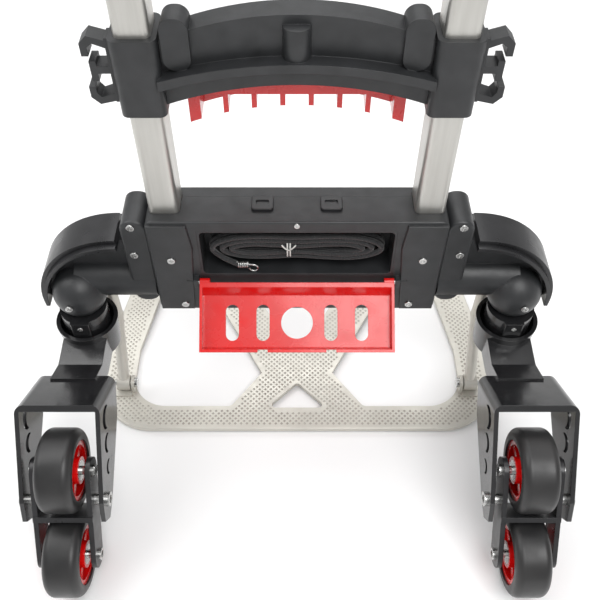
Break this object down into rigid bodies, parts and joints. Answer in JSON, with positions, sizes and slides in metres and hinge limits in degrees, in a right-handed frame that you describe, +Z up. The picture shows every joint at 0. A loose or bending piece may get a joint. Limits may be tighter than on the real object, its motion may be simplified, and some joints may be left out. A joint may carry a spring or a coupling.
{
  "type": "shopping trolley",
  "caption": "Telescopic shopping trolley frame with a folding toe plate, swivelling stair-climbing casters, crossbar with strap hooks and a cord compartment.",
  "frame": {"origin": "on the floor, midway between the two tubes, at the middle of the footprint", "axes": "+Z up along the tubes, +Y to the load side, +X to the right seen from behind"},
  "size_m": [0.494, 0.497, 1.015],
  "materials": {
    "tyre": "smooth rubber",
    "red_plastic": "glossy moulded",
    "steel": "bright",
    "satin_black_plastic": "satin moulded",
    "gloss_black_plastic": "glossy moulded",
    "black_plastic": "fine texture",
    "tube_aluminium": "satin anodised",
    "plate_aluminium": "cast, patterned",
    "rubber": "matt",
    "cord_fabric": "braided",
    "grey_plastic": "matt"
  },
  "bodies": {
    "frame": {"housing_rear": "black_plastic", "housing_front": "black_plastic", "compartment_liner": "black_plastic", "top_clips": "satin_black_plastic", "housing_screws": "steel", "crossbar": "black_plastic", "crossbar_grip": "red_plastic", "door_pins": "steel", "cord_hank": "cord_fabric", "lower_tube_left": "tube_aluminium", "lower_tube_right": "tube_aluminium", "guide_bush_left": "grey_plastic", "guide_bush_right": "grey_plastic", "strap_hooks_left": "black_plastic", "strap_hooks_right": "black_plastic", "arm_left": "black_plastic", "arm_right": "black_plastic", "leaf_inner_left": "satin_black_plastic", "leaf_inner_right": "satin_black_plastic", "leaf_outer_left": "satin_black_plastic", "leaf_outer_right": "satin_black_plastic", "stem_left": "gloss_black_plastic", "stem_right": "gloss_black_plastic", "kingpin_nut_left": "steel", "kingpin_nut_right": "steel", "arm_screws_left": "steel", "arm_screws_right": "steel", "strut_left": "plate_aluminium", "strut_right": "plate_aluminium"},
    "handle": {"inner_tube_left": "tube_aluminium", "inner_tube_right": "tube_aluminium", "handle_rear": "black_plastic", "handle_front": "black_plastic", "button_spring": "steel"},
    "button": {"release_button": "red_plastic"},
    "door": {"door": "red_plastic"},
    "plate": {"toe_plate": "plate_aluminium", "plate_ears": "plate_aluminium", "plate_pins": "steel", "plate_feet": "rubber"},
    "caster_left": {"fork_left": "gloss_black_plastic", "pivot_bolts_left": "steel"},
    "rocker_left": {"rocker_left": "satin_black_plastic", "axles_left": "steel"},
    "wheel_far_left": {"tyre_far_left": "tyre", "hub_far_left": "red_plastic", "bearing_far_left": "steel"},
    "wheel_near_left": {"tyre_near_left": "tyre", "hub_near_left": "red_plastic", "bearing_near_left": "steel"},
    "caster_right": {"fork_right": "gloss_black_plastic", "pivot_bolts_right": "steel"},
    "rocker_right": {"rocker_right": "satin_black_plastic", "axles_right": "steel"},
    "wheel_far_right": {"tyre_far_right": "tyre", "hub_far_right": "red_plastic", "bearing_far_right": "steel"},
    "wheel_near_right": {"tyre_near_right": "tyre", "hub_near_right": "red_plastic", "bearing_near_right": "steel"}
  },
  "joints": [
    {"name": "handle_slide", "type": "slide", "parent": "frame", "child": "handle", "axis": [0, 0, 1], "range_m": [-0.34, 0]},
    {"name": "button_press", "type": "slide", "parent": "handle", "child": "button", "axis": [0, 0, -1], "range_m": [0, 0.003], "stiffness_N_per_m": 300, "springref_m": -0.002, "deforming": ["button_spring"]},
    {"name": "door_hinge", "type": "hinge", "parent": "frame", "child": "door", "pos_m": [0, -0.022, 0.199], "axis": [-1, 0, 0], "range_deg": [0, 126]},
    {"name": "plate_hinge", "type": "hinge", "parent": "frame", "child": "plate", "pos_m": [0, -0.012, 0.018], "axis": [1, 0, 0], "range_deg": [0, 64]},
    {"name": "swivel_left", "type": "hinge", "parent": "frame", "child": "caster_left", "pos_m": [-0.207, -0.01, 0.1], "axis": [0, 0, -1], "range_deg": [-40, 90]},
    {"name": "rocker_tilt_left", "type": "hinge", "parent": "caster_left", "child": "rocker_left", "pos_m": [-0.207, -0.178, 0.082], "axis": [1, 0, 0], "range_deg": [-55, 20]},
    {"name": "wheel_spin_far_left", "type": "hinge", "parent": "rocker_left", "child": "wheel_far_left", "pos_m": [-0.207, -0.162, 0.106], "axis": [1, 0, 0], "continuous": true},
    {"name": "wheel_spin_near_left", "type": "hinge", "parent": "rocker_left", "child": "wheel_near_left", "pos_m": [-0.207, -0.211, 0.0375], "axis": [1, 0, 0], "continuous": true},
    {"name": "swivel_right", "type": "hinge", "parent": "frame", "child": "caster_right", "pos_m": [0.207, -0.01, 0.1], "axis": [0, 0, 1], "range_deg": [-40, 90]},
    {"name": "rocker_tilt_right", "type": "hinge", "parent": "caster_right", "child": "rocker_right", "pos_m": [0.207, -0.178, 0.082], "axis": [1, 0, 0], "range_deg": [-55, 20]},
    {"name": "wheel_spin_far_right", "type": "hinge", "parent": "rocker_right", "child": "wheel_far_right", "pos_m": [0.207, -0.162, 0.106], "axis": [1, 0, 0], "continuous": true},
    {"name": "wheel_spin_near_right", "type": "hinge", "parent": "rocker_right", "child": "wheel_near_right", "pos_m": [0.207, -0.211, 0.0375], "axis": [1, 0, 0], "continuous": true}
  ]
}
